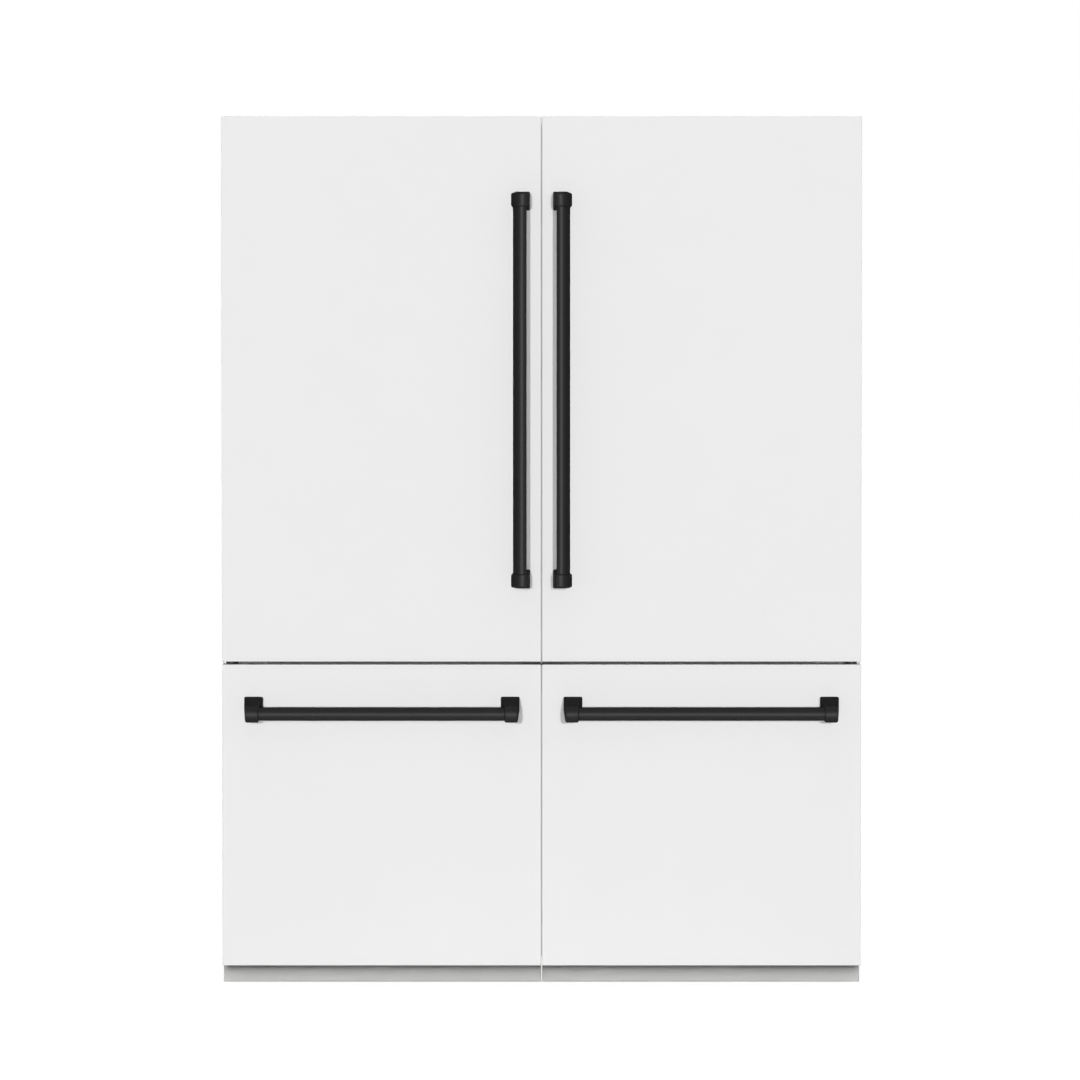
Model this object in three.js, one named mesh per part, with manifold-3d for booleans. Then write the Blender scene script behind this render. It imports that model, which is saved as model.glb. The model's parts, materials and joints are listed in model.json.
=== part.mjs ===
// French door refrigerator for a 60 in kitchen opening: two mirrored 30 in columns side by side.
// Each column has a full-height fridge door above a pull-out freezer drawer, and carries its own
// cooling circuit. Millimetres, +Z up, front towards -Y, origin on the floor under the middle.
// A column is built with x from 0 at its hinge side, y = 0 on the cabinet's front face, z = 0 on
// the floor. Every range below is [low, high] in those coordinates.
import * as THREE from "three";
import { ConvexGeometry } from "three/addons/geometries/ConvexGeometry.js";
import { mergeVertices } from "three/addons/utils/BufferGeometryUtils.js";
import Module from "manifold-3d";

const wasm = await Module();
wasm.setup();

// ---------------------------------------------------------------- driving dimensions

const COLUMN_WIDTH = 756;
const SEAM = 3; // gap between the two columns
const SHEET = 2; // steel skins
const PLASTIC = 3; // walls of bins, drawers and tubs
const FIT = 0.3; // gap left between parts that touch
const PAST = 1; // how far a cutting tool runs past what it cuts
const FACETS = { pin: 16, shank: 12, pad: 20, arm: 20, pot: 20, collar: 24, bar: 28 };

// Fixed parts
const CABINET = { depth: 565, z: [60, 2046] };
const FRIDGE = { x: [50, 706], z: [795, 1990], depth: 505, radius: 25 };
const FREEZER = { x: [50, 706], z: [112, 732], depth: 512, radius: 25 };
const STEP = { top: 345, y: 330 }; // freezer floor rises behind here, over the machine bay
const BAY = { x: [30, 726], y0: 380, top: 295 }; // machine bay, open to the back
const LEDGE = { reach: 12, height: 10, y: [125, 490] };
const CRISPER_RAIL = { reach: 24 };
const AIR_TOWER = { width: 240, proud: 14, z: [1090, 1960] };
const SHELF = { y: [120, 478], height: 12, rim: 14, pane: 5, clearance: 2 };
const SHELF_LEVELS = { shelf_upper: 1650, shelf_lower: 1335 };
const COVER = { y: [116, 482], level: 1045 };
const CRISPER = { x: [70, 686], y: [127, 475], z: [805, 1030] };
const CRISPER_GRIP = { width: 300, reach: 13, height: 18, slotWall: 4 };

const RAIL = { width: 40, z: [22, CABINET.z[0] - FIT], x0: 20, y: [20, 545], tray: 4 };
const FOOT = { inset: 40, y: [42, 523], shank: 6, pad: 19, padHeight: 7 };
const BASE_PANEL = { z: [1, 57], flange: 19.7 };

const COMPRESSOR = { x: 200, y: 470, z: 30, plate: { x: [110, 290], y: [405, 535], height: 3.7 } };
const COMPRESSOR_PROFILE = [
  [0, 0], [56, 0], [70, 14], [72, 70], [70, 110], [56, 138], [30, 150], [0, 153],
];
const CONDENSER = { x: [430, 690], y: [400, 540], z: [27, 200], pitch: 20 };
const EVAPORATOR = { x: [92, 664], y: [470, 508], z: [400, 640], pitch: 26 };
const FIN = { thickness: 2, proud: 10 };
const COVER_SLOT = { x: [90, 610], pitch: 65, width: 48, height: 9, z: [90, 140, 190, 240] };
const INLET = { x: [640, 672], z: [48, 74], depth: 20 }; // recessed mains inlet in the machine cover
const BACK_PANEL = { y: 458, thickness: 4, clearance: 2 };
const FAN_GRILLE = { x: 378, z: 600, radius: 55, pitch: 16, slot: 8, reach: 40 };

// Doors and drawer fronts
const FACE = { y: -75, gap: 10, panEdge: -12 }; // outer face, gasket gap, end of the folded edge
const DOOR_Z = [769.5, 2060];
const DRAWER_Z = [47, 762.5];
const DYKE = { x: [62, 694], z: [1056, 1975], wall: 22, reach: 25 };
const GASKET = { inset: 18, band: 16, clearance: 0.5 };
const DOOR_GASKET_Z = [779, 2030];
const DRAWER_GASKET_Z = [96, 748];
const BIN = { x: [84.5, 671.5], y: [-9.5, 86], height: 105 };
const BIN_LEVELS = { bin_upper: 1740, bin_middle: 1420, bin_lower: 1095 };

const HINGE = { x: 22, y: -42.5, pin: 6, bore: 6.6, arm: 14, pinDepth: 18, plate: 5 };
const HINGE_NOTCH = { x1: 60, z0: 2045 }; // cut out of the door's top corner for the upper hinge
const UPPER_PAD = { x1: 118, y: [5, 70], armEnd: 30 };
const LOWER_PAD = { x1: 100, z0: 750, thickness: 4, above: 1.7, below: 1.3 };

// Pull bars
const BAR = { radius: 16, standoff: 52 }; // centre line in front of the door face
const POST_FOOT = { along: 44.5, across: 35.5, corner: 3.5, height: 8 };
const COLLAR = { radius: 20.5, length: 32, chamfer: 4, outward: 2.5 };
const DOOR_PULL = { bar: 706, foot: 712.5, ends: [966, 1860] };
const DRAWER_PULL = { bar: 648.5, foot: 668.5, ends: [75, 683] };

// Freezer slides, tub and tray
const CHANNEL = { x: [50.3, 61], y: [12, 455], z: [372, 412], lip: 6, web: 4, tie: 12, tieInset: 14 };
const RUNNER = { x: [55, 68], y1: 430, z: [379, 405], bracket: 3.5, bracketRise: 14 };
const TUB = { x: [69, 687], y: [5, 318], z0: 125, rim: 4, rimX: [62, 694] };
const TRAY = { x: [70, 686], y: [8, 305], height: 92, flange: 3, flangeX: [63, 693] };

// The overall depth, handles included, is centred on y = 0.
const FRONT_REACH = -FACE.y + BAR.standoff + COLLAR.radius;
const ORIGIN_SHIFT = (FRONT_REACH - CABINET.depth) / 2;

// ---------------------------------------------------------------- materials

const paint = (color, roughness, metalness = 0) =>
  new THREE.MeshStandardMaterial({ color, roughness, metalness });

const whitePanel = () => paint(0xededed, 0.55);
const blackPull = () => paint(0x2b2b2b, 0.5);
const stainless = () => paint(0xb4b4b2, 0.35, 0.9);
const greyShell = () => paint(0x8f9294, 0.5, 0.4);
const galvanised = () => paint(0xa9adaf, 0.45, 0.8);
const darkSteel = () => paint(0x3a3c3e, 0.5, 0.6);
const whiteLiner = () => paint(0xf3f4f4, 0.3);
const softGasket = () => paint(0xc9cbcb, 0.7);
const shelfGlass = () => paint(0xd6ebe6, 0.05);
const clearPlastic = () => paint(0xe3edf0, 0.12);
const frostedPlastic = () => paint(0xe9eef0, 0.3);
const compressorBlack = () => paint(0x1e1f20, 0.3);
const aluminiumFin = () => paint(0xc4c8ca, 0.4, 0.9);

// ---------------------------------------------------------------- solids

function solid(geometry) {
  const bare = geometry.clone();
  bare.deleteAttribute("normal");
  bare.deleteAttribute("uv");
  const merged = mergeVertices(bare, 1e-4);
  const vertProperties = merged.attributes.position.array;
  const triVerts = new Uint32Array(merged.index.array);
  return new wasm.Manifold(new wasm.Mesh({ numProp: 3, vertProperties, triVerts }));
}

const middle = ([low, high]) => (low + high) / 2;
const grow = ([low, high], by) => [low - by, high + by];
const mirrored = ([low, high]) => [COLUMN_WIDTH - high, COLUMN_WIDTH - low];

function box(x, y, z) {
  const block = new THREE.BoxGeometry(x[1] - x[0], y[1] - y[0], z[1] - z[0]);
  return solid(block.translate(middle(x), middle(y), middle(z)));
}

function rodZ(x, y, z, radius, sides = FACETS.pin) {
  const rod = new THREE.CylinderGeometry(radius, radius, z[1] - z[0], sides);
  return solid(rod.rotateX(Math.PI / 2).translate(x, y, middle(z)));
}

function rodX(x, y, z, radius, sides) {
  const rod = new THREE.CylinderGeometry(radius, radius, x[1] - x[0], sides);
  return solid(rod.rotateZ(Math.PI / 2).translate(middle(x), y, z));
}

// A rectangle with rounded corners in the X-Z plane, running along y.
function roundedBlock([x0, x1], [y0, y1], [z0, z1], radius) {
  const quarter = Math.PI / 2;
  const outline = new THREE.Shape();
  outline.absarc(x1 - radius, z1 - radius, radius, 0, quarter);
  outline.absarc(x0 + radius, z1 - radius, radius, quarter, 2 * quarter);
  outline.absarc(x0 + radius, z0 + radius, radius, 2 * quarter, 3 * quarter);
  outline.absarc(x1 - radius, z0 + radius, radius, 3 * quarter, 4 * quarter);
  const settings = { depth: y1 - y0, bevelEnabled: false, curveSegments: 4 };
  const block = new THREE.ExtrudeGeometry(outline, settings);
  return solid(block.rotateX(Math.PI / 2).translate(0, y1, 0));
}

const join = (first, ...rest) => rest.reduce((sum, next) => sum.add(next), first);
const cut = (first, ...rest) => rest.reduce((sum, next) => sum.subtract(next), first);

// An open-topped tub with walls and a floor of one thickness.
const tub = (x, y, z, wall) =>
  cut(box(x, y, z), box(grow(x, -wall), grow(y, -wall), [z[0] + wall, z[1] + PAST]));

// A flat rectangular frame, open in the middle along y.
const frameAlongY = (x, y, z, band) =>
  cut(box(x, y, z), box(grow(x, -band), grow(y, PAST), grow(z, -band)));

function piece(name, shape, material) {
  const { numProp, vertProperties, triVerts } = shape.getMesh();
  const corners = new THREE.BufferAttribute(vertProperties, numProp);
  const geometry = new THREE.BufferGeometry().setAttribute("position", corners);
  geometry.setIndex(new THREE.BufferAttribute(triVerts, 1));
  const flat = geometry.toNonIndexed();
  flat.computeVertexNormals();
  const mesh = new THREE.Mesh(flat, material);
  mesh.name = name;
  return mesh;
}

// ---------------------------------------------------------------- cabinet

function cabinetShell() {
  const { depth, z } = CABINET;
  const outer = box([0, COLUMN_WIDTH], [0, depth], z);
  const inside = grow([0, COLUMN_WIDTH], -SHEET);
  const hollow = box(inside, [-PAST, depth - SHEET], [z[0] - PAST, z[1] - SHEET]);
  const backOpening = box(BAY.x, grow([depth - SHEET, depth], PAST), [0, BAY.top]);
  return cut(outer, hollow, backOpening);
}

// A pair of ledges on the fridge walls, carrying what rests at this level.
function ledges(level) {
  const z = [level - FIT - LEDGE.height, level - FIT];
  const left = box([FRIDGE.x[0] - PAST, FRIDGE.x[0] + LEDGE.reach], LEDGE.y, z);
  const right = box([FRIDGE.x[1] - LEDGE.reach, FRIDGE.x[1] + PAST], LEDGE.y, z);
  return join(left, right);
}

function crisperRails() {
  const z = [FRIDGE.z[0] - PAST, CRISPER.z[0] - FIT];
  const left = box([FRIDGE.x[0], FRIDGE.x[0] + CRISPER_RAIL.reach], LEDGE.y, z);
  const right = box([FRIDGE.x[1] - CRISPER_RAIL.reach, FRIDGE.x[1]], LEDGE.y, z);
  return join(left, right);
}

function airTower() {
  const x = grow([middle(FRIDGE.x), middle(FRIDGE.x)], AIR_TOWER.width / 2);
  return box(x, [FRIDGE.depth - AIR_TOWER.proud, FRIDGE.depth + PAST], AIR_TOWER.z);
}

// The foamed body: inner liner and insulation, bonded into one piece inside the steel shell.
function cabinetLiner() {
  const gap = SHEET + FIT;
  const { depth, z } = CABINET;
  const block = box(grow([0, COLUMN_WIDTH], -gap), [0, depth - gap], [z[0], z[1] - gap]);
  const fridge = roundedBlock(FRIDGE.x, [-PAST, FRIDGE.depth], FRIDGE.z, FRIDGE.radius);
  const { x, radius } = FREEZER;
  const freezerFront = roundedBlock(x, [-PAST, STEP.y], FREEZER.z, radius);
  const freezerRear = roundedBlock(x, [-PAST, FREEZER.depth], [STEP.top, FREEZER.z[1]], radius);
  const bay = box(BAY.x, [BAY.y0, depth], [0, BAY.top]);
  return join(
    cut(block, fridge, freezerFront, freezerRear, bay),
    airTower(),
    crisperRails(),
    ...[...Object.values(SHELF_LEVELS), COVER.level].map(ledges),
  );
}

// A glass pane in a deeper rim, so that its underside is recessed. Its own floor is z = 0.
function shelf(y) {
  const x = grow(FRIDGE.x, -SHELF.clearance);
  const recess = box(grow(x, -SHELF.rim), grow(y, -SHELF.rim), [-PAST, SHELF.height - SHELF.pane]);
  return cut(box(x, y, [0, SHELF.height]), recess);
}

function crisperDrawer() {
  const { width, reach, height, slotWall } = CRISPER_GRIP;
  const centre = middle(CRISPER.x);
  const gripX = grow([centre, centre], width / 2);
  const gripY = [CRISPER.y[0] - reach, CRISPER.y[0] + PAST];
  const gripZ = [CRISPER.z[1] - height, CRISPER.z[1]];
  const grip = box(gripX, gripY, gripZ);
  const slotY = [gripY[0] + PLASTIC, CRISPER.y[0]];
  const slot = box(grow(gripX, -slotWall), slotY, [gripZ[0] - PAST, gripZ[1] - slotWall]);
  return join(tub(CRISPER.x, CRISPER.y, CRISPER.z, PLASTIC), cut(grip, slot));
}

function levellingFoot(x, y) {
  const { shank, pad, padHeight } = FOOT;
  return join(
    rodZ(x, y, [padHeight - PAST, RAIL.z[0] + PAST], shank, FACETS.shank),
    rodZ(x, y, [0, padHeight], pad, FACETS.pad),
  );
}

function baseFrame() {
  const { width, z, x0, y, tray } = RAIL;
  const x1 = COLUMN_WIDTH - x0;
  const bayFloor = box([x0, x1], [BAY.y0 + PAST, y[1]], [z[0], z[0] + tray]);
  const feet = [FOOT.inset, COLUMN_WIDTH - FOOT.inset].flatMap((x) =>
    FOOT.y.map((footY) => levellingFoot(x, footY)),
  );
  return join(
    box([x0, x0 + width], y, z),
    box([x1 - width, x1], y, z),
    box([x0, x1], [y[0], y[0] + width], z),
    bayFloor,
    ...feet,
  );
}

// A folded kick panel: an upright face with a top flange running back to the chassis.
function basePanel() {
  const x = [0, COLUMN_WIDTH];
  const [z0, z1] = BASE_PANEL.z;
  return join(box(x, [0, SHEET], [z0, z1]), box(x, [0, BASE_PANEL.flange], [z1 - SHEET, z1]));
}

function upperHinge() {
  const { x, y, arm, pin, pinDepth, plate } = HINGE;
  const z = [CABINET.z[1] + FIT, CABINET.z[1] + FIT + plate];
  return join(
    box([x - arm, x + arm], [y, UPPER_PAD.armEnd], z),
    rodZ(x, y, z, arm, FACETS.arm),
    box([x - arm, UPPER_PAD.x1], UPPER_PAD.y, z),
    rodZ(x, y, [z[0] - pinDepth, z[1]], pin),
  );
}

function lowerHinge() {
  const { x, y, arm, pin, pinDepth } = HINGE;
  const z = [DRAWER_Z[1] + LOWER_PAD.above, DOOR_Z[0] - LOWER_PAD.below];
  return join(
    box([x - arm, x + arm], [y, -FIT], z),
    rodZ(x, y, z, arm, FACETS.arm),
    box([x - arm, LOWER_PAD.x1], [-LOWER_PAD.thickness, -FIT], [LOWER_PAD.z0, z[1]]),
    rodZ(x, y, [z[0], z[1] + pinDepth], pin),
  );
}

// ---------------------------------------------------------------- cooling circuit

function finnedCoil({ x, y, z, pitch }) {
  const fins = [];
  for (let at = x[0]; at <= x[1] - FIN.thickness; at += pitch) {
    fins.push(box([at, at + FIN.thickness], y, z));
  }
  const core = box(grow(x, -FIN.thickness / 2), grow(y, -FIN.proud), grow(z, -FIN.proud));
  return join(core, ...fins);
}

function compressor() {
  const { x, y, z, plate } = COMPRESSOR;
  const profile = COMPRESSOR_PROFILE.map(([radius, height]) => new THREE.Vector2(radius, height));
  const pot = new THREE.LatheGeometry(profile, FACETS.pot);
  pot.rotateX(Math.PI / 2).translate(x, y, z - FIT);
  return join(box(plate.x, plate.y, [z - plate.height, z]), solid(pot));
}

function machineCover() {
  const y = [CABINET.depth - SHEET, CABINET.depth];
  const slots = [];
  for (const z of COVER_SLOT.z) {
    for (let x = COVER_SLOT.x[0]; x <= COVER_SLOT.x[1]; x += COVER_SLOT.pitch) {
      slots.push(box([x, x + COVER_SLOT.width], grow(y, PAST), [z, z + COVER_SLOT.height]));
    }
  }
  const plate = box(grow(BAY.x, -PAST), y, [RAIL.z[0] + RAIL.tray + SHEET, BAY.top - PAST]);
  const housing = box(INLET.x, [y[1] - INLET.depth, y[1]], INLET.z);
  const recessY = [y[1] - INLET.depth + PLASTIC, y[1] + PAST];
  const recess = box(grow(INLET.x, -PLASTIC), recessY, grow(INLET.z, -PLASTIC));
  return cut(join(plate, housing), ...slots, recess);
}

function freezerBackPanel() {
  const { clearance, thickness } = BACK_PANEL;
  const y = [BACK_PANEL.y, BACK_PANEL.y + thickness];
  const z = grow([STEP.top, FREEZER.z[1]], -clearance);
  const panel = roundedBlock(grow(FREEZER.x, -clearance), y, z, FREEZER.radius);
  const slots = [];
  for (let rise = -FAN_GRILLE.reach; rise <= FAN_GRILLE.reach; rise += FAN_GRILLE.pitch) {
    const half = Math.sqrt(FAN_GRILLE.radius ** 2 - rise ** 2);
    const level = FAN_GRILLE.z + rise;
    const slotX = [FAN_GRILLE.x - half, FAN_GRILLE.x + half];
    slots.push(box(slotX, grow(y, PAST), grow([level, level], FAN_GRILLE.slot / 2)));
  }
  return cut(panel, ...slots);
}

// ---------------------------------------------------------------- doors and drawer fronts

// A front panel: a steel pan, folded back on all four edges.
function frontPan(z) {
  const inside = box(grow([0, COLUMN_WIDTH], -SHEET), [FACE.y + SHEET, 0], grow(z, -SHEET));
  return cut(box([0, COLUMN_WIDTH], [FACE.y, FACE.panEdge], z), inside);
}

// The foam core with its inner skin, which fills a front pan.
function frontCore(z) {
  const gap = SHEET + FIT;
  return box(grow([0, COLUMN_WIDTH], -gap), [FACE.y + gap, -FACE.gap], grow(z, -gap));
}

function doorPanel() {
  const notchZ = [HINGE_NOTCH.z0, DOOR_Z[1] + PAST];
  const notch = box([-PAST, HINGE_NOTCH.x1], [FACE.y + SHEET, 0], notchZ);
  const pinHole = rodZ(HINGE.x, HINGE.y, grow([DOOR_Z[0], DOOR_Z[0] + SHEET], PAST), HINGE.bore);
  return cut(frontPan(DOOR_Z), notch, pinHole);
}

function doorLiner() {
  const { x, y, bore, pinDepth } = HINGE;
  const notchX = [-PAST, HINGE_NOTCH.x1 + FIT];
  const socket = pinDepth + 2 * PAST;
  const core = cut(
    frontCore(DOOR_Z),
    box(notchX, [FACE.y, 0], [HINGE_NOTCH.z0 - FIT, DOOR_Z[1]]),
    rodZ(x, y, [DOOR_Z[0], DOOR_Z[0] + socket], bore),
    rodZ(x, y, [HINGE_NOTCH.z0 - socket, HINGE_NOTCH.z0], bore),
  );
  return join(core, frameAlongY(DYKE.x, [-FACE.gap - PAST, DYKE.reach], DYKE.z, DYKE.wall));
}

// A magnetic gasket round an opening, just clear of the cabinet's front.
function gasket(z) {
  const y = [-FACE.gap + FIT, -GASKET.clearance];
  return frameAlongY(grow([0, COLUMN_WIDTH], -GASKET.inset), y, z, GASKET.band);
}

const doorBin = () => tub(BIN.x, BIN.y, [0, BIN.height], PLASTIC);

// ---------------------------------------------------------------- pull bars

// A post runs from a foot on the door to a collar round the bar. The foot is centred on
// (footX, footZ), and the collar on (x, z), with its own axis along "x" or "z".
function post(footX, footZ, x, z, axis) {
  const points = [];
  const place = (originX, originZ, across, along, y) => {
    const [dx, dz] = axis === "z" ? [across, along] : [along, across];
    points.push(new THREE.Vector3(originX + dx, y, originZ + dz));
  };
  const { along, across, corner, height } = POST_FOOT;
  for (const y of [FACE.y - FIT, FACE.y - height]) {
    for (const [cutAcross, cutAlong] of [[0, corner], [corner, 0]]) {
      for (const a of [-1, 1]) {
        for (const b of [-1, 1]) {
          place(footX, footZ, a * (across / 2 - cutAcross), b * (along / 2 - cutAlong), y);
        }
      }
    }
  }
  const barY = FACE.y - BAR.standoff;
  const { radius, length, chamfer } = COLLAR;
  for (const [ring, end] of [[radius, length / 2 - chamfer], [radius - chamfer, length / 2]]) {
    for (let i = 0; i < FACETS.collar; i += 1) {
      const angle = (2 * Math.PI * i) / FACETS.collar;
      const y = barY + ring * Math.sin(angle);
      place(x, z, ring * Math.cos(angle), end, y);
      place(x, z, ring * Math.cos(angle), -end, y);
    }
  }
  return solid(new ConvexGeometry(points));
}

function doorHandle() {
  const { bar, foot, ends } = DOOR_PULL;
  const [low, high] = ends;
  return join(
    rodZ(bar, FACE.y - BAR.standoff, ends, BAR.radius, FACETS.bar),
    post(foot, low, bar, low - COLLAR.outward, "z"),
    post(foot, high, bar, high + COLLAR.outward, "z"),
  );
}

function drawerHandle() {
  const { bar, foot, ends } = DRAWER_PULL;
  const [near, far] = ends;
  return join(
    rodX(ends, FACE.y - BAR.standoff, bar, BAR.radius, FACETS.bar),
    post(near, foot, near - COLLAR.outward, bar, "x"),
    post(far, foot, far + COLLAR.outward, bar, "x"),
  );
}

// ---------------------------------------------------------------- freezer drawer

// A channel on each freezer wall, tied together by a bar behind the drawer.
function slidesFixed() {
  const { x, y, z, lip, web, tie, tieInset } = CHANNEL;
  const grooveY = [y[0] - PAST, y[1] - tie];
  const grooveX = [x[0] + web, x[1] + PAST];
  const left = cut(box(x, y, z), box(grooveX, grooveY, grow(z, -lip)));
  const right = cut(box(mirrored(x), y, z), box(mirrored(grooveX), grooveY, grow(z, -lip)));
  const tieX = grow([x[1], COLUMN_WIDTH - x[1]], web);
  return join(left, right, box(tieX, [y[1] - tie, y[1]], grow(z, -tieInset)));
}

// The runners that slide in the channels, joined by a bracket on the drawer front.
function slidesMoving() {
  const { x, y1, z, bracket, bracketRise } = RUNNER;
  const y0 = -FACE.gap + FIT;
  const span = [x[0], COLUMN_WIDTH - x[0]];
  return join(
    box(x, [y0, y1], z),
    box(mirrored(x), [y0, y1], z),
    box(span, [y0, y0 + bracket], grow(z, bracketRise)),
  );
}

// A rim that hangs a tub on what is under it.
const hangingRim = (rimX, tubX, y, z) =>
  cut(box(rimX, y, z), box(grow(tubX, -PLASTIC), grow(y, -PLASTIC), grow(z, PAST)));

function freezerTub() {
  const { x, y, z0, rim, rimX } = TUB;
  const rimZ = [RUNNER.z[1] + FIT, RUNNER.z[1] + FIT + rim];
  return join(tub(x, y, [z0, rimZ[1]], PLASTIC), hangingRim(rimX, x, y, rimZ));
}

function freezerTray() {
  const { x, y, height, flange, flangeX } = TRAY;
  const z0 = RUNNER.z[1] + FIT + TUB.rim + FIT;
  const skirt = hangingRim(flangeX, x, y, [z0, z0 + flange]);
  return join(tub(x, y, [z0, z0 + height], PLASTIC), skirt);
}

// ---------------------------------------------------------------- assembly

function buildColumn(side) {
  const column = new THREE.Group();
  const add = (name, shape, material, level = 0) => {
    const mesh = piece(`${side}_${name}`, shape, material);
    mesh.position.z = level;
    column.add(mesh);
  };

  add("cabinet_shell", cabinetShell(), greyShell());
  add("cabinet_liner", cabinetLiner(), whiteLiner());
  add("base_frame", baseFrame(), galvanised());
  add("base_panel", basePanel(), stainless());
  add("upper_hinge", upperHinge(), darkSteel());
  add("lower_hinge", lowerHinge(), darkSteel());
  for (const [name, level] of Object.entries(SHELF_LEVELS)) {
    add(name, shelf(SHELF.y), shelfGlass(), level);
  }
  add("crisper_cover", shelf(COVER.y), shelfGlass(), COVER.level);
  add("crisper_drawer", crisperDrawer(), clearPlastic());

  add("compressor", compressor(), compressorBlack());
  add("condenser", finnedCoil(CONDENSER), aluminiumFin());
  add("machine_cover", machineCover(), galvanised());
  add("evaporator", finnedCoil(EVAPORATOR), aluminiumFin());
  add("freezer_back_panel", freezerBackPanel(), whiteLiner());

  add("door_panel", doorPanel(), whitePanel());
  add("door_liner", doorLiner(), whiteLiner());
  add("door_gasket", gasket(DOOR_GASKET_Z), softGasket());
  for (const [name, level] of Object.entries(BIN_LEVELS)) {
    add(name, doorBin(), clearPlastic(), level);
  }
  add("door_handle", doorHandle(), blackPull());

  add("drawer_panel", frontPan(DRAWER_Z), whitePanel());
  add("drawer_liner", frontCore(DRAWER_Z), whiteLiner());
  add("drawer_gasket", gasket(DRAWER_GASKET_Z), softGasket());
  add("drawer_handle", drawerHandle(), blackPull());
  add("slides_fixed", slidesFixed(), galvanised());
  add("slides_moving", slidesMoving(), galvanised());
  add("freezer_tub", freezerTub(), frostedPlastic());
  add("freezer_tray", freezerTray(), frostedPlastic());
  return column;
}

const refrigerator = new THREE.Group();
for (const [side, hand] of [["left", 1], ["right", -1]]) {
  const column = buildColumn(side);
  column.position.set(-hand * (COLUMN_WIDTH + SEAM / 2), ORIGIN_SHIFT, 0);
  column.scale.x = hand; // the right column is the left one mirrored
  refrigerator.add(column);
}

export default refrigerator;
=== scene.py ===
"""Studio scene for the french door refrigerator, in metres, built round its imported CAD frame."""

import json
import math

import bmesh
import bpy
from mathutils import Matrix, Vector


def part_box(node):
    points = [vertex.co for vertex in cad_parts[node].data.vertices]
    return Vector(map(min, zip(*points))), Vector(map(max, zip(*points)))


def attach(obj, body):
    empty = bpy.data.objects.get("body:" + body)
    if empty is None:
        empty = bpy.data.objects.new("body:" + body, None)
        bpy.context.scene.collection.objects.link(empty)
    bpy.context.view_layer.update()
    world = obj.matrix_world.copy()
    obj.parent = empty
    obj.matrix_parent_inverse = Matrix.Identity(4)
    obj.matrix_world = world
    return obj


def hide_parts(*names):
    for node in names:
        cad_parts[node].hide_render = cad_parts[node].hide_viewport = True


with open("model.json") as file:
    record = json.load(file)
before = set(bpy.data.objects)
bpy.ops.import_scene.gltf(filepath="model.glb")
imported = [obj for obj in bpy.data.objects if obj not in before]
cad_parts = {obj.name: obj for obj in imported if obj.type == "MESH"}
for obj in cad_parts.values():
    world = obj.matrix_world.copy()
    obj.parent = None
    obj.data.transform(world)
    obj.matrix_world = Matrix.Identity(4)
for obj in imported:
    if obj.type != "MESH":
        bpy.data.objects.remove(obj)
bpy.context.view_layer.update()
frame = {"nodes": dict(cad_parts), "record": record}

# ---------------------------------------------------------------- driving dimensions
# Pieces are drawn in one column's own millimetres: x from its hinge side, y from the cabinet's
# front face, z from the floor. The right column is the left one mirrored.

MM = 0.001
COLUMN_WIDTH = 756
MIDDLE_X = COLUMN_WIDTH / 2
SEAM = 3
COLUMN_SHIFT_Y = -208.75
HAND = {"left": 1, "right": -1}

FACE_Y = -75
BACK_Y = 565
AIR_TOWER_Y = 491
DOOR_Z = (769.5, 2060)
DRAWER_Z = (47, 762.5)

# Pulls: centre lines of the bar and of its feet, and where the two ends are.
BAR_RADIUS = 16
BAR_Y = FACE_Y - 52
COLLAR = {"radius": 20.5, "length": 32, "chamfer": 4, "shoulder": 1.2, "outward": 2.5, "sides": 72}
POST_FOOT = {"along": 44.5, "across": 35.5, "corner": 3.5, "height": 8, "edge": 1.2, "sunk": 0.3}
DOOR_PULL = {"bar": 706, "foot": 712.5, "ends": (966, 1860)}
DRAWER_PULL = {"bar": 648.5, "foot": 668.5, "ends": (75, 683)}

# Shelves: their span in y and the height of the underside. Bins: the height of the underside.
SHELVES = {
    "shelf_upper": ((120, 478), 1650),
    "shelf_lower": ((120, 478), 1335),
    "crisper_cover": ((116, 482), 1045),
}
SHELF_X = (52, 704)
SHELF_THICKNESS = 12
PANE = {"inset": 6, "bottom": 7.2, "top": 11.6}
CRISPER = {"x": (70, 686), "y": (127, 475), "z": (805, 1030)}
BINS = {"bin_upper": 1740, "bin_middle": 1420, "bin_lower": 1095}
BIN = {"x": (84.5, 671.5), "y": (-9.5, 86), "height": 105}
TUB = {"x": (69, 687), "y": (5, 318), "z": (125, 409.3), "rim_x": (62, 694)}
TRAY = {"x": (70, 686), "y": (8, 305), "z": (409.6, 501.6), "rim_x": (63, 693)}

HINGE_PIN = (22, -42.5)
HINGE_TOP_Z = 2051.3
PIN_BUSH_Z = 2041.5
FRIDGE_ROOF_Z = 1990.4
FREEZER_ROOF_Z = 732.4
FAN = {"z": 600, "hub": 14, "reach": 50, "blades": 5}
FOOT = {"inset": 40, "y": (42, 523)}
COMPRESSOR = {"x": 200, "y": 470, "z": 29.9, "tray_z": (26.3, 30)}

SHEET_ROUNDING = 1.2
SHELL_ROUNDING = 1.6
SMOOTH_ANGLE = 35
PULL_SMOOTH_ANGLE = 28
FLAT_FACE_WEIGHT = 100
GRAIN_DEPTH_M = 0.0005
SAME_POINT_M = 1e-6
ON_PLANE_M = 1e-5
COPLANAR_DEGREES = 0.5

CAMERA_DISTANCE = 16.0
CAMERA_HEIGHT = 1.66
CAMERA_AIM_HEIGHT = 1.058
CAMERA_X = -0.0037
LENS_MM = 225.3
SENSOR_MM = 36
CAMERA_REACH = 200
FLOOR_SIZE = 80

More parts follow.
